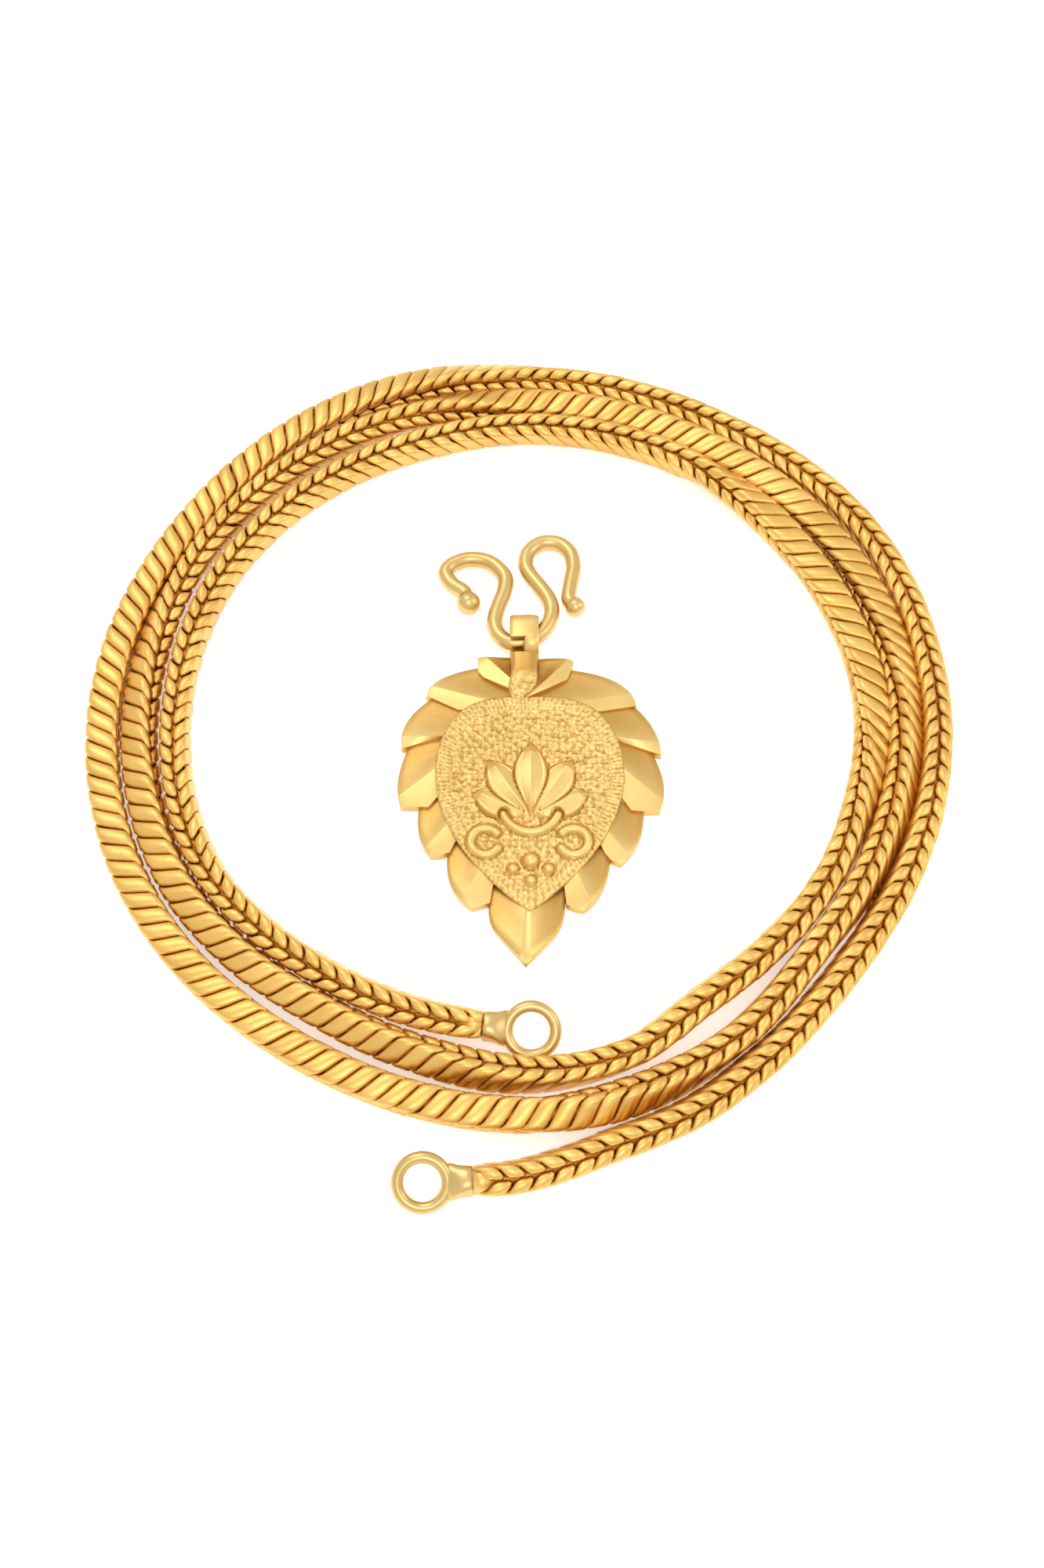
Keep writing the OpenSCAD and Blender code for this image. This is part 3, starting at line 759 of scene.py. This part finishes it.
def lobes():
    parts = []
    s = np.linspace(0, 1, ARC_STEPS + 1)[:, None]
    ridge = round(ARC_STEPS * RIDGE_SHARE)
    for rows, side in ((LEFT_LOBES, 1.0), (RIGHT_LOBES, -1.0)):
        flip = np.array([side, 1.0])
        for row in rows:
            start, bulge, tip, heel, crest = (np.array(p) * flip for p in row)
            arc = (1 - s) ** 2 * start + 2 * s * (1 - s) * bulge + s * s * tip
            parts += lobe_sheets(arc, ridge, heel, crest, side < 0)
    left = curve_through(POINT_LEFT, POINT_STEPS)
    right = curve_through(POINT_RIGHT, POINT_STEPS)
    crest = np.array(POINT_CREST)
    parts += lobe_sheets(left, len(left) - 2, right[-2], crest, False)
    parts += lobe_sheets(right, len(right) - 2, left[-2], crest, True)
    return parts


# The leaf's field
def field_edge():
    """The field's outline, anticlockwise from its widest place on the right."""
    top_points = int(EDGE_POINTS * EDGE_TOP_SHARE)
    side_points = (EDGE_POINTS - top_points) // 2
    a = np.linspace(0, np.pi, top_points + 1)
    dome = np.sqrt(1 - np.abs(np.cos(a)) ** FIELD_TOP_POWER)
    top = np.column_stack([FIELD_HALF_W * np.cos(a), FIELD_MID_Y + FIELD_UP * dome])
    u = np.linspace(0, 1, side_points + 1)[1:]
    half = FIELD_HALF_W * np.clip(1 - u * u, 0, None) ** FIELD_SIDE_POWER
    side = np.column_stack([half, FIELD_MID_Y - FIELD_DOWN * u])
    return np.vstack([top, side * np.array([-1.0, 1.0]), side[-2::-1]])


def field_reach():
    """The field's outline as angles in radians and distances from the field's centre."""
    edge = field_edge() - np.array(FIELD_CENTRE)
    return np.unwrap(np.arctan2(edge[:, 1], edge[:, 0])), np.hypot(edge[:, 0], edge[:, 1])


def field_share(x, y):
    """How far out a point lies in the field: 0 at its centre, 1 on its outline."""
    angle, radius = field_reach()
    angle = np.concatenate([angle - 2 * np.pi, angle, angle + 2 * np.pi])
    radius = np.tile(radius, 3)
    dx, dy = x - FIELD_CENTRE[0], y - FIELD_CENTRE[1]
    return np.hypot(dx, dy) / np.interp(np.arctan2(dy, dx), angle, radius)


def grains(x, y, size, seed):
    """Round grains of one size: 1 at each grain's middle, falling to 0 between them."""
    cells = 64
    radius, spread, margin = 0.6, 0.7, 0.15
    rng = np.random.default_rng(seed)
    jitter = rng.random((cells, cells, 2)) * spread + margin
    gx, gy = x / size, y / size
    cx, cy = np.floor(gx).astype(int), np.floor(gy).astype(int)
    nearest = np.full(x.shape, np.inf)
    for ox in (-1, 0, 1):
        for oy in (-1, 0, 1):
            j = jitter[(cx + ox) % cells, (cy + oy) % cells]
            distance = np.hypot(gx - (cx + ox + j[..., 0]), gy - (cy + oy + j[..., 1]))
            nearest = np.minimum(nearest, distance)
    return np.clip(1 - (nearest / radius) ** 2, 0, 1)


def granulation(x, y):
    """The field's grains, from 0 between them to 1."""
    return sum(share * grains(x, y, size, seed) for share, size, seed in GRAINS)


def round_ridge(distance, wire):
    """The height of a half-round ridge or bead on the field."""
    return np.where(distance < wire / 2, FIELD_H + half_round(distance, wire), BESIDE)


def arc_distance(x, y, centre, r, start, sweep):
    """Distance to an arc of a circle, in mm; angles in degrees."""
    dx, dy = x - centre[0], y - centre[1]
    past = (np.degrees(np.arctan2(dy, dx)) - start) % 360.0
    on = np.abs(np.hypot(dx, dy) - r)
    ends = []
    for e in (start, start + sweep):
        ex, ey = centre[0] + r * math.cos(math.radians(e)), centre[1] + r * math.sin(math.radians(e))
        ends.append(np.hypot(x - ex, y - ey))
    return np.where(past <= sweep, on, np.minimum(*ends))


def petal_height(x, y, heading, length, width, peak):
    """The height of a pointed petal with a ridge down its middle and a fine raised rim."""
    a = math.radians(heading)
    px, py = x - LOTUS_FOOT[0], y - LOTUS_FOOT[1]
    u = (px * math.cos(a) + py * math.sin(a)) / length
    v = np.abs(-px * math.sin(a) + py * math.cos(a))
    half = width / 2 * np.sin(np.pi * np.clip(u, 0, 1) ** PETAL_POWER)
    inside = (u > 0) & (u < 1) & (v < half)
    share = np.where(inside, v / np.maximum(half, 1e-6), 1.0)
    rim = np.clip(1 - np.abs(share - PETAL_RIM_AT) / PETAL_RIM_W, 0, 1) * PETAL_RIM_H
    side = PETAL_SIDE + (1 - PETAL_SIDE) * (1 - share) ** PETAL_DOME
    dome = (peak - FIELD_H) * side * np.clip(np.sin(np.pi * u) * PETAL_ENDS, 0, 1)
    return np.where(inside, FIELD_H + dome + rim, BESIDE)


def relief(x, y, share):
    """The height of the field and its relief, in mm, and the painted shade on them."""
    angle = np.arctan2(y - FIELD_CENTRE[1], x - FIELD_CENTRE[0])
    phase = RIBS * angle
    for drift, waves in RIB_DRIFTS:
        phase = phase + drift * np.sin(waves * angle)
    ribs = 0.5 * (0.5 + 0.5 * np.cos(phase)) + 0.5 * grains(x, y, *RIB_GRAINS)
    grain = granulation(x, y)
    inside = share < BORDER_SHARE
    rise = np.clip((share - BORDER_SHARE) / BORDER_SLOPE, 0, 1) * np.clip((1.0 - share) / BORDER_SLOPE, 0, 1)
    h = FIELD_H + np.where(inside, GRAIN_H * grain, rise * (BORDER_H + GRAIN_H * ribs))
    # painted shade between the grains and among the border's ribs, less where they stand high
    shown = np.where(inside, grain, BORDER_SHADE_LIFT + ribs)
    painted_shade_and_tone = np.clip(FIELD_PAINTED_SHADE - FIELD_SHADE_FALL * shown, 0, 1) * FIELD_SHADE_SCALE
    forms = []
    for heading, length, width, peak in PETALS:
        forms.append([petal_height(x, y, heading, length + g, width + 2 * g, peak) for g in (0, GROOVE)])
    calyx = (LOTUS_FOOT[0], LOTUS_FOOT[1] + CALYX_R / 2)
    for distance in (arc_distance(x, y, calyx, CALYX_R, *CALYX_ARC),
                     arc_distance(x, y, SCROLL_AT, SCROLL_R, *SCROLL_ARC),
                     arc_distance(-x, y, SCROLL_AT, SCROLL_R, *SCROLL_ARC)):
        forms.append([round_ridge(distance, SCROLL_WIRE + 2 * g) for g in (0, GROOVE)])
    for bead_x, bead_y, bead in BEADS:
        forms.append([round_ridge(np.hypot(x - bead_x, y - bead_y), bead + 2 * g) for g in (0, GROOVE)])
    # painted shade fills the groove round each form, and none lies on the forms
    for form, grown in forms:
        on = form > 0
        groove = (grown > 0) & ~on
        h = np.where(on, form, np.where(groove, FIELD_H - GROOVE_DEPTH, h))
        painted_shade_and_tone = np.where(on, 0.0, np.where(groove, 1.0, painted_shade_and_tone))
    return h, painted_shade_and_tone


def field_sheets():
    """The field as rings that widen from its centre to its outline, with a low wall."""
    angle = np.arange(FIELD_COLUMNS) * 2 * np.pi / FIELD_COLUMNS
    at, radius = field_reach()
    reach = np.interp(angle, np.concatenate([at, at[:1] + 2 * np.pi]), np.concatenate([radius, radius[:1]]))
    share = np.concatenate([FIRST_RINGS[:1], np.linspace(FIRST_RINGS[1], 1.0, FIELD_RINGS)])[:, None]
    x = FIELD_CENTRE[0] + share * reach * np.cos(angle)
    y = FIELD_CENTRE[1] + share * reach * np.sin(angle)
    z, painted_shade_and_tone = relief(x, y, share * np.ones_like(x))
    top = np.stack([x, y, z], -1)
    foot = top[-1:].copy()
    foot[..., 2] = FIELD_H - FIELD_WALL
    grid = np.concatenate([top, foot])
    painted_shade_and_tone = np.vstack([painted_shade_and_tone, painted_shade_and_tone[-1:]])
    return [(*sheet(grid[::-1], wrap=True), painted_shade_and_tone[::-1])]


# The leaf's neck and bail
def neck_sheets():
    """The rounded neck, and the tongue that runs from it over the field."""
    table = np.array(NECK)
    numbers = np.arange(len(table))
    k = np.interp(np.linspace(0, 1, NECK_ROWS), np.linspace(0, 1, len(table)), numbers)
    y, middle, half, top = (np.interp(k, numbers, column) for column in table.T)
    a = np.linspace(0, np.pi, NECK_SIDES)
    across = np.sign(np.cos(a)) * np.abs(np.cos(a)) ** NECK_SIDE_POWER
    up = np.sin(a) ** NECK_TOP_POWER
    grid = np.stack([middle[:, None] + half[:, None] * across,
                     y[:, None] * np.ones_like(a),
                     NECK_LOW + (top[:, None] - NECK_LOW) * up], -1)
    far = grid[:1] * np.array([1.0, 1.0, 0.0]) + np.array([0.0, 0.0, NECK_LOW])
    grain = granulation(grid[..., 0], grid[..., 1])
    grainy = np.interp(y, *zip(*TONGUE_GRAINS))[:, None] * np.sin(a)
    grid[..., 2] -= TONGUE_GRAIN_H * grainy * (1 - grain)
    # the neck is painted darker along its length, and painted shade lies between the tongue's grains
    deep = np.interp(y, *zip(*NECK_TONES))[:, None]
    painted_shade_and_tone = np.clip(deep + grainy * (TONGUE_PAINTED_SHADE - TONGUE_SHADE_FALL * grain), 0, 1)
    # the neck's end under the bail is painted with shade
    return [(*sheet(grid), painted_shade_and_tone), (*sheet(np.concatenate([far, grid[:1]])), NECK_END_PAINTED_SHADE)]


def strap_sheets(start, end, left, right):
    """A stretch of the bail's strap round its loop, from one angle to another, and its two ends."""
    r = (BAIL_H - BAIL_STRAP) / 2
    a = np.radians(np.concatenate([np.arange(start, end, STRAP_STEP), [end]]))
    shift = np.where(np.abs(a) < np.pi / 2, BAIL_L - BAIL_H, 0.0)
    centre = np.stack([BAIL_FOOT + BAIL_H / 2 + shift + r * np.cos(a), BAIL_H / 2 + r * np.sin(a)], -1)
    out = np.stack([np.cos(a), np.sin(a)], -1)
    section = np.array(STRAP_SECTION)
    reach = centre[:, None, :] + section[None, :, 1:] * BAIL_STRAP / 2 * out[:, None, :]
    x = left + section[:, 0] * (right - left)
    ring = np.concatenate([np.broadcast_to(x[None, :, None], reach.shape[:2] + (1,)), reach], -1)
    caps = [np.stack([np.broadcast_to(ring[i].mean(axis=0), ring[i].shape), ring[i]]) for i in (0, -1)]
    return [(*sheet(ring, wrap=True, flip=True), 0.0), (*sheet(caps[0], wrap=True, flip=True), 0.0),
            (*sheet(caps[1], wrap=True), 0.0)]


def bail_sheets():
    """The whole strap, and its right half alone beside the notch that shows the hook's wire."""
    left, right = BAIL_X - BAIL_W / 2, BAIL_X + BAIL_W / 2
    return strap_sheets(*WHOLE_STRAP, left, right) + strap_sheets(*HALF_STRAP, BAIL_X, right)


def leaf():
    points, quads, painted_shade_and_tone = joined(lobes() + field_sheets() + neck_sheets() + bail_sheets())
    points = (points + np.array([*LEAF_AT, 0.0])) * MM
    piece = big_mesh("leaf_thali", points, quads, painted_shade_and_tone, leaf_gold)
    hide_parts("leaf_pendant")
    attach(piece, "root")


# The studio
def studio():
    world = bpy.data.worlds.new("studio")
    world.use_nodes = True
    world.node_tree.nodes["Background"].inputs["Color"].default_value = (1.0, 0.99, 0.975, 1.0)
    world.node_tree.nodes["Background"].inputs["Strength"].default_value = 0.95
    bpy.context.scene.world = world
    paper = bpy.data.materials.new("paper")
    paper.use_nodes = True
    shader = paper.node_tree.nodes["Principled BSDF"]
    shader.inputs["Base Color"].default_value = (0.97, 0.965, 0.96, 1.0)
    shader.inputs["Roughness"].default_value = 0.7
    shader.inputs["Emission Color"].default_value = (1.0, 0.96, 0.93, 1.0)
    shader.inputs["Emission Strength"].default_value = 0.4
    corners = [(x * FLOOR_HALF_W, y * FLOOR_HALF_W, 0) for x, y in ((-1, -1), (1, -1), (1, 1), (-1, 1))]
    floor = new_mesh("floor", corners, [(0, 1, 2, 3)], paper)


def lights():
    for name, at, size, radiance, colour in LIGHTS:
        light = bpy.data.lights.new(name, "AREA")
        light.shape = "DISK"
        light.size = size
        light.energy = radiance * math.pi * math.pi / 4 * size * size
        light.color = colour
        lamp = bpy.data.objects.new(name, light)
        lamp.location = Vector(at)
        lamp.rotation_mode = "QUATERNION"
        lamp.rotation_quaternion = (-Vector(at)).to_track_quat("-Z", "Y")
        bpy.context.collection.objects.link(lamp)


def camera():
    data = bpy.data.cameras.new("camera")
    data.sensor_width = SENSOR_MM
    data.lens = LENS_MM
    data.clip_start = 0.005
    data.clip_end = 10.0
    cam = bpy.data.objects.new("camera", data)
    up = math.radians(CAMERA_ELEVATION)
    back = Vector((0.0, -math.cos(up), math.sin(up)))
    cam.location = (Vector(LOOK_AT) + back * CAMERA_DISTANCE) * MM
    cam.rotation_mode = "QUATERNION"
    cam.rotation_quaternion = (-back).to_track_quat("-Z", "Y")
    bpy.context.collection.objects.link(cam)
    bpy.context.scene.camera = cam


studio()
lights()
camera()
bpy.context.scene.view_settings.view_transform = "Standard"
chain()
end_rings()
hook()
leaf()
